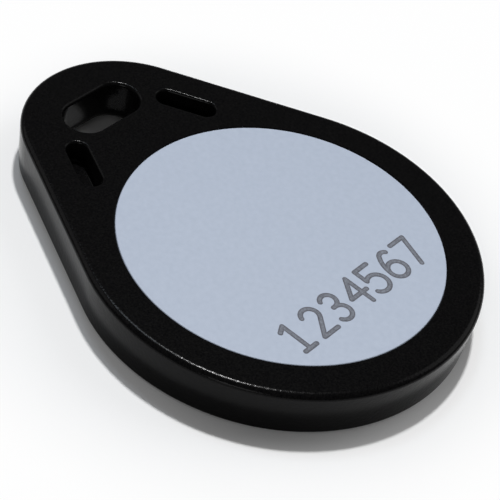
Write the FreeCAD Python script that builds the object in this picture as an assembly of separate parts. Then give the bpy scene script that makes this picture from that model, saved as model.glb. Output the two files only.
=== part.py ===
import FreeCAD, Part
import math
import os

from FreeCAD import Vector

# Proximity key fob tag: a moulded teardrop body, a pale number disc set flush in its round end,
# and, sealed under the disc, a wound antenna coil and a chip module. All sizes in millimetres.
# The origin lies on the axis of the round end, on the flat back face. +Y runs along the body to
# the key-ring end, and +Z points out of the numbered face.

# Number disc and the pocket that it closes
disc_radius = 12.9
disc_thickness = 1.4
disc_edge_bevel = 0.1
disc_setback = 0.03          # of the disc below the face
disc_fit = 0.04              # gap round the disc
ledge_width = 1.3            # that carries the disc's rim
chamber_depth = 1.0          # under the disc

# Body
rim_width = 3.1              # from the disc to the side wall, at the face
tail_reach = 2.9             # from the disc to the centre of the tail's round
tail_end_radius = 8.9        # at the face
body_thickness = 4.2
wall_draft = 0.27            # how far the side wall leans in from face to back
face_edge_radius = 0.42
back_edge_radius = 0.3

# Key-ring slot, right through the tail
ring_slot_length = 7.3
ring_slot_width = 3.65
ring_slot_web = 3.68         # material between the slot and the tip of the tail
ring_slot_rim_bevel = 0.2    # at the face
ring_slot_roll_radius = 1.5  # at the back, where the ring turns

# Blind slots between the disc and the key-ring slot, parallel to the side walls
side_slot_width = 1.75
side_slot_depth = 1.8
side_slot_inset = 3.745      # from the side wall to the slot's centre line
side_slot_disc_web = 1.65    # material between the slot and the disc's pocket
side_slot_ring_web = 1.46    # material between the slot and the key-ring slot
side_slot_draft = 0.08
side_slot_rim_bevel = 0.15

# Antenna coil, wound from enamelled wire
wire_diameter = 0.25
coil_rows = 2
coil_layers = 7
coil_wall_gap = 0.3          # from the chamber wall to the coil
coil_spigot_gap = 0.1        # from the coil to the spigot that centres it
coil_seat_gap = 0.02         # between the coil and the chamber floor
clamp_gap = 0.05             # between the coil and the clamp ring on the disc
lead_run = 1.5               # straight run of a lead before its bend
lead_sink = 0.05             # how deep the crossing lead beds into the winding
lead_flat = 0.03             # pressed off a lead where it is welded to its pad

# Chip module
board_width = 4.0
board_thickness = 0.15
board_fit = 0.1              # gap round the board in its nest
board_rim = 1.6              # from the board to the coil
nest_depth = 0.15
pad_length = 1.5
pad_inset = 0.2              # from the pad to the board's edge
pad_thickness = 0.05
pad_cap_gap = 0.35           # from each pad to the cap
cap_length = 2.9
cap_width = 2.9
cap_height = 0.4
cap_edge_bevel = 0.12
die_size = 1.1
die_thickness = 0.12

# Places that follow from the sizes
round_end_radius = disc_radius + rim_width
tail_distance = disc_radius + tail_reach
side_lean = math.asin((round_end_radius - tail_end_radius) / tail_distance)
tail_tip_y = tail_distance + tail_end_radius
ring_slot_y = tail_tip_y - ring_slot_web - ring_slot_width / 2
disc_top_z = body_thickness - disc_setback
disc_seat_z = disc_top_z - disc_thickness
chamber_floor_z = disc_seat_z - chamber_depth
chamber_radius = disc_radius - ledge_width
coil_outer_radius = chamber_radius - coil_wall_gap
coil_inner_radius = coil_outer_radius - coil_layers * wire_diameter
coil_bottom_z = chamber_floor_z + coil_seat_gap
coil_top_z = coil_bottom_z + coil_rows * wire_diameter
lead_z = coil_top_z - wire_diameter / 2
crossing_z = coil_top_z + wire_diameter / 2 - lead_sink
pad_top_z = lead_z - wire_diameter / 2 + lead_flat
board_top_z = pad_top_z - pad_thickness
nest_floor_z = board_top_z - board_thickness
spigot_radius = coil_inner_radius - coil_spigot_gap
spigot_top_z = nest_floor_z + nest_depth
board_y = coil_inner_radius - board_rim - board_width
board_length = cap_length + 2 * (pad_cap_gap + pad_length + pad_inset)
pad_x = board_length / 2 - pad_inset - pad_length / 2
clear = 1.0                  # how far a cutting tool runs past a face


def teardrop_wire(inset, z):
    """Outline of the body: two circles and their outer tangents, drawn in by inset, at height z."""
    big = round_end_radius - inset
    small = tail_end_radius - inset
    right = Vector(math.cos(side_lean), math.sin(side_lean), 0)
    left = Vector(-right.x, right.y, 0)
    centre = Vector(0, 0, z)
    tail = Vector(0, tail_distance, z)
    edges = [
        Part.LineSegment(centre + right * big, tail + right * small),
        Part.Arc(tail + right * small, tail + Vector(0, small, 0), tail + left * small),
        Part.LineSegment(tail + left * small, centre + left * big),
        Part.Arc(centre + left * big, centre - Vector(0, big, 0), centre + right * big),
    ]
    return Part.Wire([edge.toShape() for edge in edges])


def slot_wire(centre, heading, length, width, z):
    """Round-ended slot outline at height z, with its long axis at heading from +X."""
    along = Vector(math.cos(heading), math.sin(heading), 0)
    across = Vector(-along.y, along.x, 0)
    middle = Vector(centre.x, centre.y, z)
    reach = along * ((length - width) / 2)
    side = across * (width / 2)
    nose = along * (length / 2)
    edges = [
        Part.LineSegment(middle - reach - side, middle + reach - side),
        Part.Arc(middle + reach - side, middle + nose, middle + reach + side),
        Part.LineSegment(middle + reach + side, middle - reach + side),
        Part.Arc(middle - reach + side, middle - nose, middle - reach - side),
    ]
    return Part.Wire([edge.toShape() for edge in edges])


def cylinder(radius, bottom, top):
    """Upright cylinder on the disc axis, between two heights."""
    return Part.makeCylinder(radius, top - bottom, Vector(0, 0, bottom))


def block(length, width, bottom, top, centre):
    """Upright block centred on a point of the plane, between two heights."""
    corner = Vector(centre.x - length / 2, centre.y - width / 2, bottom)
    return Part.makeBox(length, width, top - bottom, corner)


def edges_at(shape, z, limits=None):
    """Edges that lie wholly at height z, inside limits where a box is given."""
    found = []
    for edge in shape.Edges:
        box = edge.BoundBox
        level = abs(box.ZMin - z) < 1e-4 and abs(box.ZMax - z) < 1e-4
        if level and (limits is None or limits.isInside(box)):
            found.append(edge)
    return found


def wire_along(points):
    """Round wire along straight runs, mitred where they meet."""
    section = Part.Circle(points[0], points[1] - points[0], wire_diameter / 2).toShape()
    spine = Part.makePolygon(points)
    return spine.makePipeShell([Part.Wire(section)], True, False, 1)


def body_blank():
    """Drafted teardrop with its face and back edges rounded, before anything is cut in it."""
    back = teardrop_wire(wall_draft, 0)
    face = teardrop_wire(0, body_thickness)
    blank = Part.makeLoft([back, face], True, True)
    blank = blank.makeFillet(face_edge_radius, edges_at(blank, body_thickness))
    return blank.makeFillet(back_edge_radius, edges_at(blank, 0))


def cut_ring_slot(body):
    """Key-ring slot through the tail, with a bevelled face rim and a rolled back rim."""
    centre = Vector(0, ring_slot_y, 0)
    outline = slot_wire(centre, 0, ring_slot_length, ring_slot_width, -clear)
    tool = Part.Face(outline).extrude(Vector(0, 0, body_thickness + 2 * clear))
    body = body.cut(tool)
    near = tool.BoundBox
    near.enlarge(clear / 10)
    body = body.makeChamfer(ring_slot_rim_bevel, edges_at(body, body_thickness, near))
    return body.makeFillet(ring_slot_roll_radius, edges_at(body, 0, near))


def side_slot_ends():
    """Centres of a side slot's two round ends, as distances along the side wall from the disc axis."""
    line = round_end_radius - side_slot_inset
    half_width = side_slot_width / 2
    disc_reach = disc_radius + disc_fit + side_slot_disc_web + half_width
    ring_end_x = (ring_slot_length - ring_slot_width) / 2
    ring_across = ring_end_x * math.cos(side_lean) + ring_slot_y * math.sin(side_lean)
    ring_along = ring_slot_y * math.cos(side_lean) - ring_end_x * math.sin(side_lean)
    ring_reach = ring_slot_width / 2 + side_slot_ring_web + half_width
    low = math.sqrt(disc_reach ** 2 - line ** 2)
    high = ring_along - math.sqrt(ring_reach ** 2 - (line - ring_across) ** 2)
    return low, high


def cut_side_slot(body, side):
    """Blind slot beside the key-ring slot; side is 1 on the right and -1 on the left."""
    outward = Vector(side * math.cos(side_lean), math.sin(side_lean), 0)
    along = Vector(-side * math.sin(side_lean), math.cos(side_lean), 0)
    low, high = side_slot_ends()
    centre = outward * (round_end_radius - side_slot_inset) + along * ((low + high) / 2)
    heading = math.atan2(along.y, along.x)
    length = high - low + side_slot_width
    floor_z = body_thickness - side_slot_depth
    spread = 2 * side_slot_draft * clear / side_slot_depth
    shrink = 2 * side_slot_draft
    floor = slot_wire(centre, heading, length - shrink, side_slot_width - shrink, floor_z)
    mouth = slot_wire(centre, heading, length + spread, side_slot_width + spread, body_thickness + clear)
    tool = Part.makeLoft([floor, mouth], True, True)
    body = body.cut(tool)
    near = tool.BoundBox
    near.enlarge(clear / 10)
    return body.makeChamfer(side_slot_rim_bevel, edges_at(body, body_thickness, near))


def nest_centre():
    """Middle of the chip module on the disc's plane."""
    return Vector(0, board_y + board_width / 2, 0)


def cut_pocket(body):
    """Stepped pocket: the disc's seat, the coil's chamber, the coil's spigot and the module's nest."""
    body = body.cut(cylinder(disc_radius + disc_fit, disc_seat_z, body_thickness + clear))
    chamber = cylinder(chamber_radius, chamber_floor_z, disc_seat_z + clear)
    spigot = cylinder(spigot_radius, chamber_floor_z, spigot_top_z)
    nest = block(board_length + 2 * board_fit, board_width + 2 * board_fit, nest_floor_z,
                 spigot_top_z + clear, nest_centre())
    return body.cut(chamber.cut(spigot.cut(nest)))


def make_tag_body():
    """Moulded teardrop body."""
    body = cut_ring_slot(body_blank())
    for side in (1, -1):
        body = cut_side_slot(body, side)
    return cut_pocket(body)


def make_face_disc():
    """Pale number disc, with a ring below it that holds the coil down."""
    disc = cylinder(disc_radius, disc_seat_z, disc_top_z)
    disc = disc.makeChamfer(disc_edge_bevel, edges_at(disc, disc_top_z))
    clamp_bottom_z = coil_top_z + clamp_gap
    clamp = cylinder(coil_outer_radius, clamp_bottom_z, disc_seat_z)
    clamp = clamp.cut(cylinder(coil_inner_radius, clamp_bottom_z - clear, disc_seat_z + clear))
    notch_length = lead_run + 4 * wire_diameter
    notch_centre = Vector(-pad_x - lead_run / 2, coil_outer_radius / 2, 0)
    notch = block(notch_length, coil_outer_radius + 2 * clear, clamp_bottom_z - clear, disc_seat_z,
                  notch_centre)
    return disc.fuse(clamp.cut(notch)).removeSplitter()


def lead_start(turn_radius, side):
    """First two points of a lead: on its turn, and where the turn's tangent is over the pad."""
    start_x = pad_x + lead_run
    start_y = math.sqrt(turn_radius ** 2 - start_x ** 2)
    corner_y = (turn_radius ** 2 - pad_x * start_x) / start_y
    return Vector(side * start_x, start_y, 0), Vector(side * pad_x, corner_y, 0)


def inner_lead():
    """Start of the wire: it leaves the innermost turn and runs level to the right pad."""
    lift = Vector(0, 0, lead_z)
    start, corner = lead_start(coil_inner_radius + wire_diameter / 2, 1)
    end = Vector(pad_x, board_y + pad_inset, 0)
    return wire_along([start + lift, corner + lift, end + lift])


def outer_lead():
    """End of the wire: it leaves the outermost turn, crosses the winding and drops to the left pad."""
    lift = Vector(0, 0, crossing_z)
    start, corner = lead_start(coil_outer_radius - wire_diameter / 2, -1)
    brink = Vector(-pad_x, coil_inner_radius - wire_diameter, crossing_z)
    landing = Vector(-pad_x, board_y + board_width, lead_z)
    end = Vector(-pad_x, board_y + pad_inset, lead_z)
    return wire_along([start + lift, corner + lift, brink, landing, end])


def module_pad(side):
    """Contact pad at one end of the module's board."""
    centre = nest_centre() + Vector(side * pad_x, 0, 0)
    return block(pad_length, board_width - 2 * pad_inset, board_top_z, pad_top_z, centre)


def make_antenna_coil():
    """Self-bonded copper winding, with its two leads pressed flat on the module's pads."""
    winding = cylinder(coil_outer_radius, coil_bottom_z, coil_top_z)
    winding = winding.cut(cylinder(coil_inner_radius, coil_bottom_z - clear, coil_top_z + clear))
    coil = winding.fuse([inner_lead(), outer_lead()])
    return coil.cut([module_pad(1), module_pad(-1)])


def make_module_board():
    """Glass-epoxy board of the chip module."""
    return block(board_length, board_width, nest_floor_z, board_top_z, nest_centre())


def make_chip_die():
    """Silicon die on the board."""
    return block(die_size, die_size, board_top_z, board_top_z + die_thickness, nest_centre())


def make_chip_cap():
    """Moulded cap over the die, with its top edges bevelled."""
    cap = block(cap_length, cap_width, board_top_z, board_top_z + cap_height, nest_centre())
    cap = cap.makeChamfer(cap_edge_bevel, edges_at(cap, board_top_z + cap_height))
    return cap.cut(make_chip_die())


nodes = {
    "tag_body": make_tag_body(),
    "face_disc": make_face_disc(),
    "antenna_coil": make_antenna_coil(),
    "module_board": make_module_board(),
    "inner_lead_pad": module_pad(1),
    "outer_lead_pad": module_pad(-1),
    "chip_die": make_chip_die(),
    "chip_cap": make_chip_cap(),
}

os.makedirs("parts", exist_ok=True)
for name, shape in nodes.items():
    shape.exportStep("parts/" + name + ".step")
    print(name, shape.ShapeType, "solids", len(shape.Solids), "valid", shape.isValid(),
          "volume", round(shape.Volume, 3))
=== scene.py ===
"""Dressed model of a proximity key fob tag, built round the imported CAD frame.

The tag is a black moulded teardrop with a flush pale number disc. Sealed under the disc are a wound
antenna coil and a chip module. Shapes are drawn in millimetres and brought to metres when finished.
"""

import logging
import math
from dataclasses import dataclass, field
from enum import Enum

import bmesh
import bpy
from bmesh.types import BMesh, BMVert
from mathutils import Matrix, Vector

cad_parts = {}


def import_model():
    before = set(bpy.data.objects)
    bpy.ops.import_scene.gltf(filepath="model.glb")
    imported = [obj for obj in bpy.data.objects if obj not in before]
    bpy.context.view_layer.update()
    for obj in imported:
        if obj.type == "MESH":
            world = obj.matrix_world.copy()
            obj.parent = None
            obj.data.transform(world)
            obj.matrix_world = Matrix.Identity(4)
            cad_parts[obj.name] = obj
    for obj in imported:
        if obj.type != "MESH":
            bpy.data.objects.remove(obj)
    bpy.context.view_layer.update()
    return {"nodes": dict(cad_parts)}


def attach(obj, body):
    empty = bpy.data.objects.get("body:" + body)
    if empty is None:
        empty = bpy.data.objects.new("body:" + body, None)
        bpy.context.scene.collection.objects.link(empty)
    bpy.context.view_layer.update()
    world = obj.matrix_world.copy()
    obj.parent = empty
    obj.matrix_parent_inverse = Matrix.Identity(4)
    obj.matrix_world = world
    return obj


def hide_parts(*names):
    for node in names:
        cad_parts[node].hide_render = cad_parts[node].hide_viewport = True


MM = 0.001  # metres in the bench's millimetre
WELD = 1e-4  # millimetres within which points are one
BODY = "root"  # the body that every piece rides on
UP = Vector((0.0, 0.0, 1.0))
FULL_STEPS = 180  # facets in a full circle of the disc and its seat
RIGHT_ANGLE = 90.0  # degrees
Colour = tuple[float, float, float]
Point = tuple[float, float]
Point3 = tuple[float, float, float]
WHITE: Colour = (1.0, 1.0, 1.0)

log = logging.getLogger("tag")


class Carve(Enum):
    """What a tool does to the shape that it meets."""

    CUT = "DIFFERENCE"
    JOIN = "UNION"


class Hand(Enum):
    """Side of the tag, seen with the number upright."""

    LEFT = -1
    RIGHT = 1


# Bench: drawing, turning and carving


@dataclass
class ProfilePen:
    """Draws an open outline in the XZ plane, ready to be turned about Z.

    Attributes:
        shape: The mesh that receives the outline.
        tip: The last vertex drawn.
    """

    shape: BMesh
    tip: BMVert

    @classmethod
    def at(cls, reach: float, height: float) -> "ProfilePen":
        """Start a new mesh with the pen at a distance from the axis and a height."""
        shape = bmesh.new()
        return cls(shape, shape.verts.new((reach, 0.0, height)))

    def run(self, reach: float, height: float) -> "ProfilePen":
        """Draw a straight line to a point.

        Args:
            reach: Distance of the point from the axis.
            height: Height of the point.

        Returns:
            The pen itself.
        """
        grown = bmesh.ops.extrude_vert_indiv(self.shape, verts=[self.tip])
        self.tip = grown["verts"][0]
        self.tip.co = Vector((reach, 0.0, height))
        return self

    def turn(self, reach: float, height: float, degrees: float, steps: int) -> "ProfilePen":
        """Draw an arc about a centre.

        Args:
            reach: Distance of the centre from the axis.
            height: Height of the centre.
            degrees: Sweep, positive against the clock with Z up and the axis on the left.
            steps: Straight pieces in the arc.

        Returns:
            The pen itself.
        """
        swept = bmesh.ops.spin(
            self.shape, geom=[self.tip], cent=(reach, 0.0, height), axis=(0.0, -1.0, 0.0),
            angle=math.radians(degrees), steps=steps, use_merge=False,
        )
        self.tip = next(item for item in swept["geom_last"] if isinstance(item, BMVert))
        return self


def weld(shape: BMesh) -> BMesh:
    """Merge doubles, and turn all faces outwards.

    Args:
        shape: The shape to mend.

    Returns:
        The same shape.
    """
    bmesh.ops.remove_doubles(shape, verts=shape.verts, dist=WELD)
    bmesh.ops.recalc_face_normals(shape, faces=shape.faces)
    return shape


def place(shape: BMesh, move: Vector, heading: float = 0.0) -> BMesh:
    """Turn a shape about Z through the origin, then move it.

    Args:
        shape: The shape to place.
        move: How far it moves.
        heading: How far it turns first, in radians.

    Returns:
        The same shape.
    """
    turn = Matrix.Rotation(heading, 3, "Z")
    bmesh.ops.rotate(shape, verts=shape.verts, cent=(0.0, 0.0, 0.0), matrix=turn)
    bmesh.ops.translate(shape, verts=shape.verts, vec=move)
    return shape


def spun(shape: BMesh, angle: float, steps: int, closes: bool = False) -> BMesh:
    """Spin an outline about the Z axis, so that it leaves a surface.

    Args:
        shape: The outline.
        angle: Angle in radians, positive against the clock.
        steps: Facets in the surface.
        closes: Whether the outline comes back to where it started.

    Returns:
        The same shape, with its surface.
    """
    bmesh.ops.spin(
        shape, geom=shape.verts[:] + shape.edges[:], cent=(0.0, 0.0, 0.0), axis=UP, angle=angle,
        steps=steps, use_merge=closes,
    )
    return shape


def turned(pen: ProfilePen, steps: int) -> BMesh:
    """Turn an outline that is closed, or ends on the Z axis, once round that axis."""
    return weld(spun(pen.shape, math.tau, steps, closes=True))


def slotted(pen: ProfilePen, half_run: float, steps: int) -> BMesh:
    """Turn an outline into a round-ended slot tool whose long axis is X.

    Args:
        pen: The outline of half the slot's section, which starts and ends on the axis.
        half_run: Half the distance between the centres of the two round ends.
        steps: Facets in each round end.

    Returns:
        A closed shape centred on the Z axis.
    """
    shape = spun(place(pen.shape, Vector(), math.pi / 2), -math.pi, steps)
    bmesh.ops.remove_doubles(shape, verts=shape.verts, dist=WELD)
    bmesh.ops.translate(shape, verts=shape.verts, vec=(half_run, 0.0, 0.0))
    rim = [edge for edge in shape.edges if edge.is_boundary]
    grown = bmesh.ops.extrude_edge_only(shape, edges=rim)
    fresh = [item for item in grown["geom"] if isinstance(item, BMVert)]
    bmesh.ops.translate(shape, verts=fresh, vec=(-half_run, 0.0, 0.0))
    geom = shape.verts[:] + shape.edges[:] + shape.faces[:]
    bmesh.ops.mirror(shape, geom=geom, matrix=Matrix.Identity(4), merge_dist=WELD, axis="X")
    return weld(shape)


def block(low: Vector, high: Vector) -> BMesh:
    """Make an upright block between two corners.

    Args:
        low: The corner with the lowest x, y and z.
        high: The corner with the highest.

    Returns:
        A closed shape.
    """
    shape = bmesh.new()
    bmesh.ops.create_cube(shape, size=1.0)
    bmesh.ops.scale(shape, verts=shape.verts, vec=high - low)
    bmesh.ops.translate(shape, verts=shape.verts, vec=(low + high) / 2)
    return shape


def merge(whole: BMesh, part: BMesh) -> BMesh:
    """Add one shape to another.

    Args:
        whole: The shape that grows.
        part: The shape that is added and then let go.

    Returns:
        The grown shape.
    """
    mesh = bpy.data.meshes.new("part")
    part.to_mesh(mesh)
    part.free()
    whole.from_mesh(mesh)
    bpy.data.meshes.remove(mesh)
    return whole


def as_object(shape: BMesh, name: str) -> bpy.types.Object:
    """Turn a shape on the bench into an object of the scene.

    Args:
        shape: The shape, which is then let go.
        name: The object's name.

    Returns:
        The object.
    """
    mesh = bpy.data.meshes.new(name)
    shape.to_mesh(mesh)
    shape.free()
    made = bpy.data.objects.new(name, mesh)
    bpy.context.scene.collection.objects.link(made)
    return made


def baked(source: bpy.types.Object) -> bpy.types.Mesh:
    """Work out the mesh of an object with its modifiers applied.

    Args:
        source: The object, which stays as it is.

    Returns:
        A mesh of its own.
    """
    bpy.context.view_layer.update()
    ready = source.evaluated_get(bpy.context.evaluated_depsgraph_get())
    return bpy.data.meshes.new_from_object(ready)


def carved(blank: BMesh, tools: list[BMesh], action: Carve) -> BMesh:
    """Cut tools out of a blank, or join them to it, one after another.

    Args:
        blank: The shape that is worked on.
        tools: Closed shapes, in the order in which they are used.
        action: Whether the tools cut or join.

    Returns:
        The worked shape.
    """
    target = as_object(blank, "blank")
    cutters = [as_object(tool, "tool") for tool in tools]
    for cutter in cutters:
        step = target.modifiers.new("carve", "BOOLEAN")
        step.operation = action.value
        step.solver = "EXACT"
        step.object = cutter
    mesh = baked(target)
    shape = bmesh.new()
    shape.from_mesh(mesh)
    for spent in [target, *cutters]:
        bpy.data.meshes.remove(spent.data)
    bpy.data.meshes.remove(mesh)
    return shape


def finished(shape: BMesh, name: str, material: bpy.types.Material,
             crease: float = 30.0) -> bpy.types.Object:
    """Bring a shape to metres, smooth its rounded faces and give it its material.

    Args:
        shape: The shape in millimetres.
        name: The piece's name.
        material: Its material.
        crease: Angle in degrees above which an edge stays sharp.

    Returns:
        The piece, at the origin.
    """
    bmesh.ops.scale(shape, verts=shape.verts, vec=(MM, MM, MM))
    made = as_object(shape, name)
    made.data.shade_smooth()
    made.data.set_sharp_from_angle(angle=math.radians(crease))
    weights = made.modifiers.new("weights", "WEIGHTED_NORMAL")
    weights.keep_sharp = True
    smooth = baked(made)
    made.modifiers.clear()
    rough, made.data = made.data, smooth
    bpy.data.meshes.remove(rough)
    made.data.name = name
    made.data.materials.append(material)
    return made


def fitted(piece: bpy.types.Object, slot: str, *nodes: str) -> None:
    """Make a piece ride on the tag, hide the CAD nodes that it stands in for, and log it.

    Args:
        piece: The finished piece.
        slot: Name of its material slot, which is only put in the log.
        nodes: CAD nodes that the piece stands in for.
    """
    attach(piece, BODY)
    if nodes:
        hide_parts(*nodes)
    log.info("%s: %d faces, slot %s", piece.name, len(piece.data.polygons), slot)


# Finishes


@dataclass(frozen=True)
class NodeDesk:
    """Short ways to add and join the nodes of one material.

    Attributes:
        tree: The material's nodes.
    """

    tree: bpy.types.NodeTree

    def add(self, kind: str, **settings: object) -> bpy.types.Node:
        """Add a node.

        Args:
            kind: Its type.
            settings: Values of its own properties.

        Returns:
            The node.
        """
        node = self.tree.nodes.new(kind)
        for name, value in settings.items():
            setattr(node, name, value)
        return node

    def join(self, source: bpy.types.NodeSocket, target: bpy.types.NodeSocket) -> None:
        """Link an output to an input."""
        self.tree.links.new(source, target)

    def noise(self, scale: float, detail: float, roughness: float) -> bpy.types.NodeSocket:
        """Add noise on the object's own coordinates.

        Args:
            scale: Waves per metre.
            detail: Octaves.
            roughness: How much the finer octaves weigh.

        Returns:
            The noise value, from 0 to 1.
        """
        where = self.add("ShaderNodeTexCoord")
        node = self.add("ShaderNodeTexNoise")
        node.inputs["Scale"].default_value = scale
        node.inputs["Detail"].default_value = detail
        node.inputs["Roughness"].default_value = roughness
        self.join(where.outputs["Object"], node.inputs["Vector"])
        return node.outputs["Fac"]

    def blend(self, factor: bpy.types.NodeSocket, low: Colour, high: Colour,
              limits: Point) -> bpy.types.NodeSocket:
        """Blend two colours over a range of a value.

        Args:
            factor: The value.
            low: Colour at and below the range's start.
            high: Colour at and above its end.
            limits: Start and end of the range.

        Returns:
            The colour.
        """
        ramp = self.add("ShaderNodeValToRGB")
        first, last = ramp.color_ramp.elements
        first.position, first.color = limits[0], (*low, 1.0)
        last.position, last.color = limits[1], (*high, 1.0)
        self.join(factor, ramp.inputs["Fac"])
        return ramp.outputs["Color"]

    def spread(self, value: bpy.types.NodeSocket, target: Point, source: Point = (0.0, 1.0),
               ramp: str = "LINEAR") -> bpy.types.NodeSocket:
        """Bring a value from one range into another.

        Args:
            value: The value.
            target: Ends of the range that it comes to.
            source: Ends of the range that it comes from.
            ramp: Form of the way between the ends.

        Returns:
            The new value.
        """
        node = self.add("ShaderNodeMapRange", interpolation_type=ramp)
        node.inputs["From Min"].default_value, node.inputs["From Max"].default_value = source
        node.inputs["To Min"].default_value, node.inputs["To Max"].default_value = target
        self.join(value, node.inputs["Value"])
        return node.outputs["Result"]

    def combine(self, operation: str, first: bpy.types.NodeSocket,
                second: bpy.types.NodeSocket) -> bpy.types.NodeSocket:
        """Combine two values.

        Args:
            operation: Name of the sum.
            first: The first value.
            second: The second value.

        Returns:
            The result.
        """
        node = self.add("ShaderNodeMath", operation=operation)
        self.join(first, node.inputs[0])
        self.join(second, node.inputs[1])
        return node.outputs["Value"]

    def bump(self, height: bpy.types.NodeSocket, depth: float) -> bpy.types.NodeSocket:
        """Turn a height into a bumped normal.

        Args:
            height: The height, from 0 to 1.
            depth: What a height of 1 measures, in metres.

        Returns:
            The normal.
        """
        node = self.add("ShaderNodeBump")
        node.inputs["Strength"].default_value = 1.0
        node.inputs["Distance"].default_value = depth
        self.join(height, node.inputs["Height"])
        return node.outputs["Normal"]


@dataclass(frozen=True)
class Finish:
    """A mottled, finely bumped surface. Each piece of the tag and the floor have one.

    Attributes:
        name: Name of the material.
        dark: The darker of its two colours.
        pale: The paler of its two colours.
        mottle: Waves of the colour per metre.
        roughness: Lowest and highest roughness.
        specular: Specular level of the shader.
        grain: Waves of the bump per metre.
        grain_depth: Depth of the bump in metres.
        metallic: Share of metal.
        mottle_detail: Octaves of the colour's noise, and how much the finer ones weigh.
        mottle_range: Values of that noise at which the two colours are pure.
        grain_detail: Octaves of the bump's noise, and how much the finer ones weigh.
    """

    name: str
    dark: Colour
    pale: Colour
    mottle: float
    roughness: Point
    specular: float
    grain: float
    grain_depth: float
    metallic: float = 0.0
    mottle_detail: Point = (3.0, 0.55)
    mottle_range: Point = (0.3, 0.7)
    grain_detail: Point = (2.0, 0.6)

    def material(self) -> bpy.types.Material:
        """Build the material.

        Returns:
            The new material.
        """
        made = bpy.data.materials.new(self.name)
        made.use_nodes = True
        desk = NodeDesk(made.node_tree)
        shader = made.node_tree.nodes["Principled BSDF"]
        shader.inputs["Specular IOR Level"].default_value = self.specular
        shader.inputs["Metallic"].default_value = self.metallic
        tone = desk.noise(self.mottle, *self.mottle_detail)
        colour = desk.blend(tone, self.dark, self.pale, self.mottle_range)
        desk.join(colour, shader.inputs["Base Color"])
        desk.join(desk.spread(tone, self.roughness), shader.inputs["Roughness"])
        grain = desk.noise(self.grain, *self.grain_detail)
        desk.join(desk.bump(grain, self.grain_depth), shader.inputs["Normal"])
        return made


BODY_PLASTIC = Finish(
    "moulded_black", dark=(0.0009, 0.0009, 0.0012), pale=(0.0048, 0.0046, 0.0046),
    mottle=6500.0, roughness=(0.15, 0.21), specular=0.08,
    grain=3400.0, grain_depth=1.6e-5,
)
DISC_PLASTIC = Finish(
    "disc_satin", dark=(0.418, 0.475, 0.580), pale=(0.448, 0.506, 0.612),
    mottle=2200.0, roughness=(0.42, 0.50), specular=0.35,
    grain=9000.0, grain_depth=2.0e-6,
)
MARK_EDGE = Finish(
    "mark_edge", dark=(0.085, 0.088, 0.105), pale=(0.150, 0.155, 0.185),
    mottle=5200.0, roughness=(0.55, 0.70), specular=0.2,
    grain=9000.0, grain_depth=4.0e-6,
)
MARK_CORE = Finish(
    "mark_core", dark=(0.120, 0.128, 0.150), pale=(0.225, 0.240, 0.280),
    mottle=5200.0, roughness=(0.55, 0.70), specular=0.2,
    grain=9000.0, grain_depth=4.0e-6,
)
COIL_WIRE = Finish(
    "enamelled_copper", dark=(0.58, 0.23, 0.09), pale=(0.78, 0.37, 0.17),
    mottle=1500.0, roughness=(0.22, 0.34), specular=0.5,
    grain=9000.0, grain_depth=1.0e-6, metallic=0.9,
)
LAMINATE = Finish(
    "glass_laminate", dark=(0.27, 0.34, 0.13), pale=(0.40, 0.47, 0.25),
    mottle=4000.0, roughness=(0.40, 0.55), specular=0.4,
    grain=12000.0, grain_depth=2.0e-6,
)
PAD_METAL = Finish(
    "gold_plate", dark=(0.78, 0.55, 0.22), pale=(0.86, 0.66, 0.33),
    mottle=3000.0, roughness=(0.22, 0.35), specular=0.5,
    grain=12000.0, grain_depth=1.0e-6, metallic=1.0,
)
SILICON = Finish(
    "silicon", dark=(0.08, 0.09, 0.11), pale=(0.14, 0.15, 0.18),
    mottle=6000.0, roughness=(0.12, 0.20), specular=0.8,
    grain=15000.0, grain_depth=3.0e-7, metallic=0.4,
)
CAP_RESIN = Finish(
    "cap_resin", dark=(0.014, 0.014, 0.015), pale=(0.026, 0.025, 0.025),
    mottle=9000.0, roughness=(0.50, 0.62), specular=0.35,
    grain=12000.0, grain_depth=5.0e-6,
)
FLOOR_WHITE = Finish(
    "floor_white", dark=(0.95, 0.95, 0.95), pale=(0.97, 0.97, 0.97),
    mottle=40.0, roughness=(0.7, 0.8), specular=0.1,
    grain=2000.0, grain_depth=1.0e-6,
)


# Body


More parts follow.
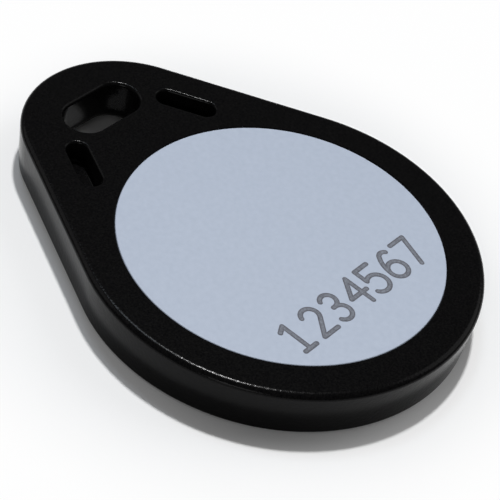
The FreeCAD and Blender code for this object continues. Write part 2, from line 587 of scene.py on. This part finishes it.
@dataclass
class TagShell:
    """The moulded teardrop body. All sizes in millimetres.

    Attributes:
        height: Thickness of the body.
        big_radius: Radius of the round end, at the face.
        small_radius: Radius of the tail's round, at the face.
        tail: Distance from the disc axis to the centre of the tail's round.
        draft: How far the side wall leans in from face to back.
        face_round: Height of the rounded face edge.
        face_reach: How many times wider than high that rounding is.
        face_steps: Facets of that rounding.
        back_round: Radius of the back edge.
        back_steps: Its facets.
        arc_step: Angle of one facet of the round ends.
        slot_y: Distance from the disc axis to the key-ring slot.
        slot_length: Length of the slot between its walls.
        slot_width: Width of the slot between its walls.
        slot_rim: Radius of its edge at the face.
        slot_rim_steps: Facets of that edge.
        slot_roll: Radius of its edge at the back.
        slot_roll_steps: Facets of that edge.
        slot_end_steps: Facets of each of its round ends.
        pit_width: Width of the blind slots beside it.
        pit_depth: Their depth.
        pit_draft: How far their walls lean in.
        pit_rim: Radius of their edge at the face.
        pit_rim_steps: Facets of that edge.
        pit_floor_round: Radius between their walls and floor.
        pit_floor_steps: Facets of that round.
        pit_end_steps: Facets of each of their round ends.
        pit_inset: Distance from the side wall to their middle line.
        pit_low: Their nearer end's centre, along the side wall from the disc axis.
        pit_high: Their farther end's centre.
        seat_radius: Radius of the disc's seat.
        seat_z: Height of the ledge that carries the disc.
        seat_edge: Chamfer of the seat's mouth.
        chamber_radius: Outer radius of the coil's chamber.
        chamber_z: Height of its floor.
        spigot_radius: Radius of the spigot that centres the coil.
        spigot_z: Height of the spigot.
        nest_low: Lowest corner of the nest of the chip module.
        nest_high: Highest corner of the nest.
        over: How far a cutting tool runs past a face.
    """

    height: float = 4.2
    big_radius: float = 16.0
    small_radius: float = 8.9
    tail: float = 15.8
    draft: float = 0.27
    face_round: float = 0.43
    face_reach: float = 1.35
    face_steps: int = 12
    back_round: float = 0.3
    back_steps: int = 6
    arc_step: float = math.radians(2.0)
    slot_y: float = 19.195
    slot_length: float = 7.3
    slot_width: float = 3.65
    slot_rim: float = 0.3
    slot_rim_steps: int = 5
    slot_roll: float = 1.5
    slot_roll_steps: int = 12
    slot_end_steps: int = 36
    pit_width: float = 1.75
    pit_depth: float = 1.8
    pit_draft: float = 0.08
    pit_rim: float = 0.24
    pit_rim_steps: int = 4
    pit_floor_round: float = 0.25
    pit_floor_steps: int = 5
    pit_end_steps: int = 28
    pit_inset: float = 3.745
    pit_low: float = 9.433
    pit_high: float = 12.682
    seat_radius: float = 12.94
    seat_z: float = 2.77
    seat_edge: float = 0.04
    chamber_radius: float = 11.6
    chamber_z: float = 1.77
    spigot_radius: float = 9.45
    spigot_z: float = 2.02
    nest_low: Vector = field(default_factory=lambda: Vector((-3.6, 3.85, 1.87)))
    nest_high: Vector = field(default_factory=lambda: Vector((3.6, 8.05, 2.4)))
    over: float = 1.0

    @property
    def lean(self) -> float:
        """Angle of the side wall from the long axis."""
        return math.asin((self.big_radius - self.small_radius) / self.tail)

    def end(self, radius: float, sweep: float) -> BMesh:
        """Turn the wall's section through one round end, from the right side wall on.

        Args:
            radius: Radius of the end at the face.
            sweep: Angle that it turns through, positive against the clock.

        Returns:
            The wall of that end, open at its sides, face and back.
        """
        slope = math.atan(self.draft / self.height)
        tilt = math.degrees(slope)
        top, back = self.face_round, self.back_round
        top_x = radius - top * math.tan(slope) - top / math.cos(slope)
        back_x = radius - (self.height - back) * math.tan(slope) - back / math.cos(slope)
        pen = ProfilePen.at(top_x, self.height)
        pen.turn(top_x, self.height - top, -(RIGHT_ANGLE + tilt), self.face_steps)
        # The rounding is stretched inwards from the side wall, which stays in its place.
        bmesh.ops.scale(pen.shape, verts=pen.shape.verts, vec=(self.face_reach, 1.0, 1.0),
                        space=Matrix.Translation(-pen.tip.co))
        pen.run(back_x + back * math.cos(slope), back - back * math.sin(slope))
        pen.turn(back_x, back, -(RIGHT_ANGLE - tilt), self.back_steps)
        shape = place(pen.shape, Vector(), self.lean)
        return spun(shape, sweep, round(abs(sweep) / self.arc_step))

    def blank(self) -> BMesh:
        """Make the teardrop before anything is cut in it.

        Returns:
            A closed shape.
        """
        shape = self.end(self.big_radius, -(math.pi + 2 * self.lean))
        tail = self.end(self.small_radius, math.pi - 2 * self.lean)
        merge(shape, place(tail, Vector((0.0, self.tail, 0.0))))
        # The side walls bridge the two ends, and then the back and the face close them.
        for hand in Hand:
            wall = [edge for edge in shape.edges
                    if edge.is_boundary and all(self.on_side(vert, hand) for vert in edge.verts)]
            bmesh.ops.bridge_loops(shape, edges=wall)
        for level in (0.0, self.height):
            rim = [edge for edge in shape.edges if edge.is_boundary
                   and all(abs(vert.co.z - level) < WELD for vert in edge.verts)]
            bmesh.ops.contextual_create(shape, geom=rim)
        return weld(shape)

    def on_side(self, vert: BMVert, hand: Hand) -> bool:
        """Tell whether a vertex lies on the line across a side wall, at either of the wall's ends.

        Args:
            vert: The vertex.
            hand: Side of the wall.

        Returns:
            Whether it does.
        """
        along = Vector((-hand.value * math.sin(self.lean), math.cos(self.lean)))
        reach = vert.co.xy.dot(along)
        wall_length = self.tail * math.cos(self.lean)
        return vert.co.x * hand.value > 0 and min(abs(reach), abs(reach - wall_length)) < WELD

    def ring_slot(self) -> BMesh:
        """Make the tool for the key-ring slot, with its rounded face rim and rolled back rim.

        Returns:
            A closed shape.
        """
        wall, rim, roll = self.slot_width / 2, self.slot_rim, self.slot_roll
        pen = ProfilePen.at(0.0, self.height + self.over)
        pen.run(wall + rim, self.height + self.over).run(wall + rim, self.height)
        pen.turn(wall + rim, self.height - rim, RIGHT_ANGLE, self.slot_rim_steps).run(wall, roll)
        pen.turn(wall + roll, roll, RIGHT_ANGLE, self.slot_roll_steps)
        pen.run(wall + roll, -self.over).run(0.0, -self.over)
        tool = slotted(pen, (self.slot_length - self.slot_width) / 2, self.slot_end_steps)
        return place(tool, Vector((0.0, self.slot_y, 0.0)))

    def pit(self, hand: Hand) -> BMesh:
        """Make the tool for one blind slot beside the key-ring slot.

        Args:
            hand: Side of the tag that it is on.

        Returns:
            A closed shape.
        """
        mouth, rim, corner = self.pit_width / 2, self.pit_rim, self.pit_floor_round
        floor_z = self.height - self.pit_depth
        foot = mouth - self.pit_draft
        pen = ProfilePen.at(0.0, floor_z).run(foot - corner, floor_z)
        pen.turn(foot - corner, floor_z + corner, RIGHT_ANGLE, self.pit_floor_steps)
        pen.run(mouth, self.height - rim)
        pen.turn(mouth + rim, self.height - rim, -RIGHT_ANGLE, self.pit_rim_steps)
        pen.run(mouth + rim, self.height + self.over).run(0.0, self.height + self.over)
        tool = slotted(pen, (self.pit_high - self.pit_low) / 2, self.pit_end_steps)
        outward = Vector((hand.value * math.cos(self.lean), math.sin(self.lean), 0.0))
        along = Vector((-hand.value * math.sin(self.lean), math.cos(self.lean), 0.0))
        middle = (self.pit_low + self.pit_high) / 2
        centre = outward * (self.big_radius - self.pit_inset) + along * middle
        return place(tool, centre, math.atan2(along.y, along.x))

    def pocket(self) -> BMesh:
        """Make the tool for the disc's seat, the coil's chamber and the top of its spigot.

        Returns:
            A closed shape.
        """
        above = self.height + self.over
        mouth = self.seat_radius + self.seat_edge
        pen = ProfilePen.at(0.0, above).run(mouth, above).run(mouth, self.height)
        pen.run(self.seat_radius, self.height - self.seat_edge).run(self.seat_radius, self.seat_z)
        pen.run(self.chamber_radius, self.seat_z).run(self.chamber_radius, self.chamber_z)
        pen.run(self.spigot_radius, self.chamber_z).run(self.spigot_radius, self.spigot_z)
        pen.run(0.0, self.spigot_z)
        return turned(pen, FULL_STEPS)

    def build(self) -> None:
        """Mould the body and stand it in for its CAD node."""
        tools = [self.ring_slot(), self.pit(Hand.RIGHT), self.pit(Hand.LEFT), self.pocket(),
                 block(self.nest_low, self.nest_high)]
        shape = weld(carved(self.blank(), tools, Carve.CUT))
        piece = finished(shape, "moulded_body", BODY_PLASTIC.material())
        fitted(piece, "body_plastic", "tag_body")


# Number disc


@dataclass(frozen=True)
class Stroke:
    """A straight run of the marking pen, in millimetres inside a digit's box.

    Attributes:
        start: Where the pen comes down.
        end: Where it lifts.
    """

    start: Point
    end: Point

    def slabs(self, pen: "MarkPen") -> list[BMesh]:
        """Make the solid marks that this stroke leaves."""
        return [pen.bar(self.start, self.end)]


@dataclass(frozen=True)
class Sweep:
    """An arc of the marking pen, in millimetres and degrees inside a digit's box.

    Attributes:
        centre: Centre of the arc.
        radius: Its radius.
        start: Angle at which it starts.
        end: Angle at which it ends.
        free: Whether its start and its end are free, and so rounded.
    """

    centre: Point
    radius: float
    start: float
    end: float
    free: tuple[bool, bool] = (False, False)

    def slabs(self, pen: "MarkPen") -> list[BMesh]:
        """Make the solid marks that this arc leaves: its band and its free round ends.

        Args:
            pen: The pen that draws it.

        Returns:
            Closed shapes that overlap.
        """
        made = [pen.band(self)]
        for angle, free in zip((self.start, self.end), self.free):
            if free:
                turn = math.radians(angle)
                x, y = self.centre
                tip = (x + self.radius * math.cos(turn), y + self.radius * math.sin(turn))
                made.append(pen.bar(tip, tip))
        return made


@dataclass(frozen=True)
class MarkPen:
    """The marking pen. All sizes in millimetres.

    Attributes:
        width: Width of its mark.
        low: Height at which the mark starts, under the disc's top.
        high: Height of the mark's top.
        rise: What each further mark of a digit adds to the height, so that no tops are level.
        dot_steps: Facets of a round end.
        arc_step: About the angle of an arc's facet, in degrees.
        least_steps: Fewest facets of an arc.
    """

    width: float = 0.43
    low: float = 4.155
    high: float = 4.175
    rise: float = 0.0004
    dot_steps: int = 20
    arc_step: float = 9.0
    least_steps: int = 4

    def raised(self, shape: BMesh) -> BMesh:
        """Give flat faces the mark's height.

        Args:
            shape: Faces at height 0.

        Returns:
            A closed shape.
        """
        grown = bmesh.ops.extrude_face_region(shape, geom=shape.faces[:])
        fresh = [item for item in grown["geom"] if isinstance(item, BMVert)]
        bmesh.ops.translate(shape, verts=fresh, vec=(0.0, 0.0, self.high - self.low))
        bmesh.ops.translate(shape, verts=shape.verts, vec=(0.0, 0.0, self.low))
        return weld(shape)

    def bar(self, start: Point, end: Point) -> BMesh:
        """Mark a straight run with round ends, or a dot where both ends are one.

        Args:
            start: Where the pen comes down.
            end: Where it lifts.

        Returns:
            A closed shape.
        """
        shape = bmesh.new()
        bmesh.ops.create_circle(shape, cap_ends=True, segments=self.dot_steps,
                                radius=self.width / 2)
        run = Vector((*end, 0.0)) - Vector((*start, 0.0))
        half_step = math.pi / self.dot_steps
        place(shape, Vector(), math.atan2(run.y, run.x) + half_step)
        ahead = [vert for vert in shape.verts if vert.co.dot(run) > 0.0]
        bmesh.ops.translate(shape, verts=ahead, vec=run)
        return self.raised(place(shape, Vector((*start, 0.0))))

    def band(self, sweep: Sweep) -> BMesh:
        """Mark an arc, without its round ends.

        Args:
            sweep: The arc.

        Returns:
            A closed shape.
        """
        shape = bmesh.new()
        half = self.width / 2
        nib = [shape.verts.new((sweep.radius + side, 0.0, 0.0)) for side in (-half, half)]
        shape.edges.new(nib)
        place(shape, Vector(), math.radians(sweep.start))
        angle = math.radians(sweep.end - sweep.start)
        steps = max(self.least_steps, round(abs(angle) / math.radians(self.arc_step)))
        spun(shape, angle, steps, closes=abs(angle) > math.tau - WELD)
        return self.raised(place(shape, Vector((*sweep.centre, 0.0))))


OPEN_START = (True, False)
OPEN_END = (False, True)
DIGITS: dict[str, tuple[Stroke | Sweep, ...]] = {
    "1": (Stroke((0.66, 0.0), (0.66, 2.74)), Stroke((0.66, 2.74), (0.02, 2.38)),
          Stroke((0.1, 0.0), (1.36, 0.0))),
    "2": (Sweep((0.78, 2.03), 0.75, 160.0, -40.3, OPEN_START), Stroke((1.352, 1.545), (0.04, 0.0)),
          Stroke((0.04, 0.0), (1.62, 0.0))),
    "3": (Sweep((0.74, 2.12), 0.67, 150.0, -90.0, OPEN_START),
          Sweep((0.74, 0.71), 0.74, 90.0, -148.0, OPEN_END), Stroke((0.55, 1.45), (0.8, 1.45))),
    "4": (Stroke((1.3, 2.78), (0.0, 1.08)), Stroke((0.0, 1.08), (1.82, 1.08)),
          Stroke((1.3, 2.78), (1.3, 0.0))),
    "5": (Stroke((1.56, 2.76), (0.12, 2.76)), Stroke((0.12, 2.76), (0.12, 1.52)),
          Sweep((0.72, 0.85), 0.9, 132.6, -145.0, OPEN_END)),
    "6": (Sweep((0.86, 0.8), 0.82, 0.0, 360.0), Sweep((2.74, 0.8), 2.7, 178.0, 139.0),
          Sweep((1.117, 2.21), 0.55, 143.0, 42.0, OPEN_END)),
    "7": (Stroke((0.02, 2.76), (1.6, 2.76)), Stroke((1.6, 2.76), (0.58, 0.0))),
}


@dataclass
class NumberDisc:
    """The pale disc, its clamp ring, and the number marked on it. All sizes in millimetres.

    Attributes:
        radius: Radius of the disc.
        top_z: Height of its top.
        seat_z: Height of the ledge that it lies on.
        edge_round: Radius of its top edge and chamfer of its lower edge.
        edge_steps: Facets of its top edge.
        clamp_z: Height of the foot of the clamp ring that holds the coil down.
        clamp_outer: Outer radius of the clamp ring.
        clamp_inner: Inner radius of the clamp ring.
        notch_low: Lowest corner of the notch for the outer lead.
        notch_high: Highest corner of the notch.
        number: The plain example number.
        number_x: Left edge of its first digit.
        number_y: Foot of its digits.
        pitch: Distance from digit to digit.
        edge_pen: Pen for the whole width of the strokes.
        core_pen: Pen for their paler middle.
    """

    radius: float = 12.9
    top_z: float = 4.17
    seat_z: float = 2.77
    edge_round: float = 0.1
    edge_steps: int = 5
    clamp_z: float = 2.34
    clamp_outer: float = 11.3
    clamp_inner: float = 9.55
    notch_low: Vector = field(default_factory=lambda: Vector((-4.55, -1.0, 1.3)))
    notch_high: Vector = field(default_factory=lambda: Vector((-2.05, 12.3, 2.77)))
    number: str = "1234567"
    number_x: float = -7.78
    number_y: float = -8.6
    pitch: float = 2.32
    edge_pen: MarkPen = field(default_factory=MarkPen)
    core_pen: MarkPen = field(default_factory=lambda: MarkPen(width=0.22, high=4.178))

    def disc(self) -> BMesh:
        """Turn the disc with its clamp ring, and cut the notch for the outer lead.

        Returns:
            A closed shape.
        """
        corner = self.edge_round
        pen = ProfilePen.at(0.0, self.top_z).run(self.radius - corner, self.top_z)
        pen.turn(self.radius - corner, self.top_z - corner, -RIGHT_ANGLE, self.edge_steps)
        pen.run(self.radius, self.seat_z + corner)
        pen.run(self.radius - corner, self.seat_z).run(self.clamp_outer, self.seat_z)
        pen.run(self.clamp_outer, self.clamp_z).run(self.clamp_inner, self.clamp_z)
        pen.run(self.clamp_inner, self.seat_z).run(0.0, self.seat_z)
        notch = block(self.notch_low, self.notch_high)
        return weld(carved(turned(pen, FULL_STEPS), [notch], Carve.CUT))

    def number_in(self, pen: MarkPen, name: str, finish: Finish) -> None:
        """Mark the whole number with one pen.

        Args:
            pen: The pen.
            name: Name of the piece.
            finish: Its finish.
        """
        marks = bmesh.new()
        for index, sign in enumerate(self.number):
            slabs = [slab for stroke in DIGITS[sign] for slab in stroke.slabs(pen)]
            for order, slab in enumerate(slabs):
                place(slab, Vector((0.0, 0.0, order * pen.rise)))
            corner = Vector((self.number_x + index * self.pitch, self.number_y, 0.0))
            merge(marks, place(carved(slabs[0], slabs[1:], Carve.JOIN), corner))
        fitted(finished(marks, name, finish.material()), "disc_plastic")

    def build(self) -> None:
        """Make the disc, which stands in for its CAD node, and its number."""
        disc = finished(self.disc(), "number_disc", DISC_PLASTIC.material())
        fitted(disc, "disc_plastic", "face_disc")
        self.number_in(self.edge_pen, "number_edges", MARK_EDGE)
        self.number_in(self.core_pen, "number_cores", MARK_CORE)


# Antenna coil and chip module


@dataclass
class AntennaCoil:
    """The bonded winding with its two leads. All sizes in millimetres.

    Attributes:
        wire: Diameter of the wire.
        inner: Inner radius of the winding.
        bottom: Height of its underside.
        layers: Turns from inside to outside, in each of its two rows.
        quarter_steps: Facets in a quarter of the wire's outline.
        ring_steps: Facets round the winding.
        crease: Angle in degrees above which an edge stays sharp.
        lead_bend: How far from a corner a lead starts to bend.
        lead_steps: Pieces from bend point to bend point.
        lead_order: Order of a lead's curve.
        lead_round: Bevel resolution of a lead, which sets the facets round it.
        inner_path: Corners of the lead from the innermost turn.
        outer_path: Corners of the lead from the outermost turn, across the winding.
        press_low: Lowest corner of the press that flattens the leads on their pads.
        press_high: Highest corner of the press.
    """

    wire: float = 0.25
    inner: float = 9.55
    bottom: float = 1.79
    layers: int = 7
    quarter_steps: int = 3
    ring_steps: int = 120
    crease: float = 50.0
    lead_bend: float = 0.35
    lead_steps: int = 8
    lead_order: int = 3
    lead_round: int = 2
    inner_path: tuple[Point3, ...] = (
        (4.05, 8.787, 2.165), (2.55, 9.478, 2.165), (2.55, 4.15, 2.165),
    )
    outer_path: tuple[Point3, ...] = (
        (-4.05, 10.415, 2.365), (-2.55, 10.999, 2.365), (-2.55, 9.3, 2.365),
        (-2.55, 7.95, 2.165), (-2.55, 4.15, 2.165),
    )
    press_low: Vector = field(default_factory=lambda: Vector((-4.0, 4.0, 1.9)))
    press_high: Vector = field(default_factory=lambda: Vector((4.0, 7.9, 2.07)))

    def winding(self) -> BMesh:
        """Turn the outline of two rows of round wires, with all their crowns.

        Returns:
            A closed shape.
        """
        radius = self.wire / 2
        lower = [(self.inner + radius + index * self.wire, self.bottom + radius)
                 for index in range(self.layers)]
        upper = [(x, z + self.wire) for x, z in reversed(lower)]
        pen = ProfilePen.at(lower[0][0], self.bottom + self.wire)
        for x, z in lower + upper:
            # A wire at a corner shows three quarters of its outline, and the others show half.
            quarters = 3 if (x, z) in (lower[0], lower[-1], upper[0], upper[-1]) else 2
            pen.turn(x, z, RIGHT_ANGLE * quarters, self.quarter_steps * quarters)
        return turned(pen, self.ring_steps)

    def lead(self, path: tuple[Point3, ...]) -> BMesh:
        """Draw one lead of round wire with eased bends.

        Args:
            path: Corners of its centre line.

        Returns:
            A closed tube.
        """
        corners = [Vector(point) for point in path]
        eased = [corners[0]]
        for before, corner, after in zip(corners, corners[1:], corners[2:]):
            eased.append(corner + (before - corner).normalized() * self.lead_bend)
            eased.append(corner)
            eased.append(corner + (after - corner).normalized() * self.lead_bend)
        eased.append(corners[-1])
        curve = bpy.data.curves.new("lead", "CURVE")
        curve.dimensions = "3D"
        curve.bevel_depth = self.wire / 2
        curve.bevel_resolution = self.lead_round
        curve.use_fill_caps = True
        line = curve.splines.new("NURBS")
        line.points.add(len(eased) - 1)
        for knot, point in zip(line.points, eased):
            knot.co = (*point, 1.0)
        line.order_u = self.lead_order
        line.use_endpoint_u = True
        line.resolution_u = self.lead_steps
        drawn = bpy.data.objects.new("lead", curve)
        bpy.context.scene.collection.objects.link(drawn)
        mesh = baked(drawn)
        shape = bmesh.new()
        shape.from_mesh(mesh)
        bpy.data.meshes.remove(mesh)
        bpy.data.curves.remove(curve)
        return weld(shape)

    def build(self) -> None:
        """Wind the coil, add its pressed leads, and stand the coil in for its CAD node."""
        shape = self.winding()
        for path in (self.inner_path, self.outer_path):
            press = block(self.press_low, self.press_high)
            merge(shape, weld(carved(self.lead(path), [press], Carve.CUT)))
        piece = finished(shape, "wound_coil", COIL_WIRE.material(), self.crease)
        fitted(piece, "coil_wire", "antenna_coil")


@dataclass
class ChipModule:
    """The board, pads, die and cap, which keep their CAD solids and get finishes.

    Attributes:
        finishes: Finish of each node, by the node's name.
    """

    finishes: dict[str, Finish] = field(default_factory=lambda: {
        "module_board": LAMINATE, "inner_lead_pad": PAD_METAL, "outer_lead_pad": PAD_METAL,
        "chip_die": SILICON, "chip_cap": CAP_RESIN,
    })

    def dress(self, nodes: dict[str, bpy.types.Object]) -> None:
        """Give each node its material.

        Args:
            nodes: The frame's objects by node name.
        """
        ready: dict[str, bpy.types.Material] = {}
        for name, finish in self.finishes.items():
            if finish.name not in ready:
                ready[finish.name] = finish.material()
            node = nodes[name]
            if not node.material_slots:
                node.data.materials.append(None)
            for slot in node.material_slots:
                slot.material = ready[finish.name]
            log.info("%s: finish %s", name, finish.name)


# Studio


@dataclass(frozen=True)
class Lamp:
    """A round soft lamp that is aimed at the tag.

    Attributes:
        name: Its name.
        azimuth: Where it stands, in degrees from +X against the clock.
        elevation: Its height over the floor, in degrees.
        size: Its diameter in metres.
        share: What it adds to the brightness of a white sheet under it.
        colour: Its light.
        distance: From the tag, in metres.
    """

    name: str
    azimuth: float
    elevation: float
    size: float
    share: float
    colour: Colour = WHITE
    distance: float = 2.0

    def hang(self, aim: Vector) -> None:
        """Hang the lamp.

        Args:
            aim: Where it points.
        """
        turn, rise = math.radians(self.azimuth), math.radians(self.elevation)
        level = Vector((math.cos(turn), math.sin(turn), 0.0))
        away = level * math.cos(rise) + UP * math.sin(rise)
        light = bpy.data.lights.new(self.name, "AREA")
        light.shape = "DISK"
        light.size = self.size
        light.color = self.colour
        light.energy = self.share * (math.pi * self.distance) ** 2 / math.sin(rise)
        lamp = bpy.data.objects.new(self.name, light)
        lamp.location = aim + away * self.distance
        lamp.rotation_euler = away.to_track_quat("Z", "Y").to_euler()
        bpy.context.scene.collection.objects.link(lamp)


@dataclass
class Studio:
    """The camera, the lamps, the world and the pale floor. Angles in degrees, sizes in metres.

    Attributes:
        azimuth: Where the camera looks, from +Y with the clock.
        elevation: How far it looks down.
        roll: How far its top leans to the left of the picture.
        eye: Where it stands.
        lens: Its focal length in millimetres.
        sensor: Width of its film in millimetres.
        clip: The nearest and farthest distance that it sees.
        aim: The tag's middle, at which the lamps point.
        floor_size: Side of the floor.
        floor_drop: Gap between the floor and the tag.
        ambient: Brightness of the room.
        glow: How much of the far floor is plain white.
        glow_start: Distance from the tag's middle at which the white starts.
        glow_end: Distance at which it is complete.
        lamps: The lamps.
    """

    azimuth: float = 59.73
    elevation: float = 42.96
    roll: float = 14.77
    eye: Vector = field(default_factory=lambda: Vector((-0.09427, -0.05246, 0.10267)))
    lens: float = 137.76
    sensor: float = 36.0
    clip: Point = (0.01, 10.0)
    aim: Vector = field(default_factory=lambda: Vector((0.0, 0.004, 0.004)))
    floor_size: float = 1.5
    floor_drop: float = 1e-5
    ambient: float = 0.12
    glow: float = 0.9
    glow_start: float = 0.0195
    glow_end: float = 0.029
    lamps: tuple[Lamp, ...] = (
        Lamp("key", azimuth=38.0, elevation=69.0, size=0.14, share=0.60),
        Lamp("window", azimuth=61.0, elevation=62.0, size=0.4, share=0.09, colour=(0.80, 0.90, 1.0)),
        Lamp("left_softbox", azimuth=100.0, elevation=38.0, size=1.4, share=0.06),
        Lamp("right_softbox", azimuth=338.0, elevation=38.0, size=1.4, share=0.08),
        Lamp("fill", azimuth=205.0, elevation=22.0, size=0.9, share=0.05),
    )

    def camera(self) -> None:
        """Place the camera where the photograph was taken from."""
        turn, rise, roll = (math.radians(x) for x in (self.azimuth, self.elevation, self.roll))
        ahead = Vector((math.sin(turn), math.cos(turn), 0.0)) * math.cos(rise) - UP * math.sin(rise)
        level = Vector((math.cos(turn), -math.sin(turn), 0.0))
        upright = level.cross(ahead)
        right = level * math.cos(roll) + upright * math.sin(roll)
        top = upright * math.cos(roll) - level * math.sin(roll)
        data = bpy.data.cameras.new("table_camera")
        data.sensor_width = self.sensor
        data.lens = self.lens
        data.clip_start, data.clip_end = self.clip
        made = bpy.data.objects.new("table_camera", data)
        axes = Matrix((right, top, -ahead)).transposed()
        made.matrix_world = Matrix.Translation(self.eye) @ axes.to_4x4()
        bpy.context.scene.collection.objects.link(made)
        bpy.context.scene.camera = made

    def world(self) -> None:
        """Fill the room with dim even light."""
        made = bpy.data.worlds.new("room")
        made.use_nodes = True
        background = made.node_tree.nodes["Background"]
        background.inputs["Color"].default_value = (*WHITE, 1.0)
        background.inputs["Strength"].default_value = self.ambient
        bpy.context.scene.world = made

    def floor(self) -> None:
        """Lay the pale floor just under the tag."""
        shape = bmesh.new()
        bmesh.ops.create_grid(shape, x_segments=1, y_segments=1, size=self.floor_size / 2)
        bmesh.ops.translate(shape, verts=shape.verts, vec=(0.0, 0.0, -self.floor_drop))
        piece = as_object(shape, "pale_floor")
        piece.data.materials.append(self.whitened(FLOOR_WHITE.material()))

    def whitened(self, made: bpy.types.Material) -> bpy.types.Material:
        """Bring a material nearer to white, away from the tag, for camera and mirrored rays.

        Args:
            made: The material, which keeps the tag's shadow.

        Returns:
            The same material.
        """
        desk = NodeDesk(made.node_tree)
        path = desk.add("ShaderNodeLightPath")
        seen = path.outputs["Is Camera Ray"]
        for ray in ("Is Glossy Ray", "Is Transmission Ray"):
            seen = desk.combine("MAXIMUM", seen, path.outputs[ray])
        where = desk.add("ShaderNodeTexCoord")
        reach = desk.add("ShaderNodeVectorMath", operation="DISTANCE")
        reach.inputs[1].default_value = self.aim
        desk.join(where.outputs["Object"], reach.inputs[0])
        fade = desk.spread(reach.outputs["Value"], (0.0, self.glow),
                           (self.glow_start, self.glow_end), "SMOOTHSTEP")
        mix = desk.add("ShaderNodeMixShader")
        desk.join(desk.combine("MULTIPLY", seen, fade), mix.inputs["Fac"])
        desk.join(made.node_tree.nodes["Principled BSDF"].outputs["BSDF"], mix.inputs[1])
        desk.join(desk.add("ShaderNodeEmission").outputs["Emission"], mix.inputs[2])
        desk.join(mix.outputs["Shader"], made.node_tree.nodes["Material Output"].inputs["Surface"])
        return made

    def build(self) -> None:
        """Set up the whole studio."""
        self.camera()
        self.world()
        self.floor()
        for lamp in self.lamps:
            lamp.hang(self.aim)
        bpy.context.scene.view_settings.view_transform = "Standard"


def main() -> None:
    """Dress the tag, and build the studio."""
    logging.basicConfig(level=logging.INFO, format="%(name)s: %(message)s")
    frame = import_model()
    TagShell().build()
    NumberDisc().build()
    AntennaCoil().build()
    ChipModule().dress(frame["nodes"])
    Studio().build()


if __name__ == "__main__":
    main()
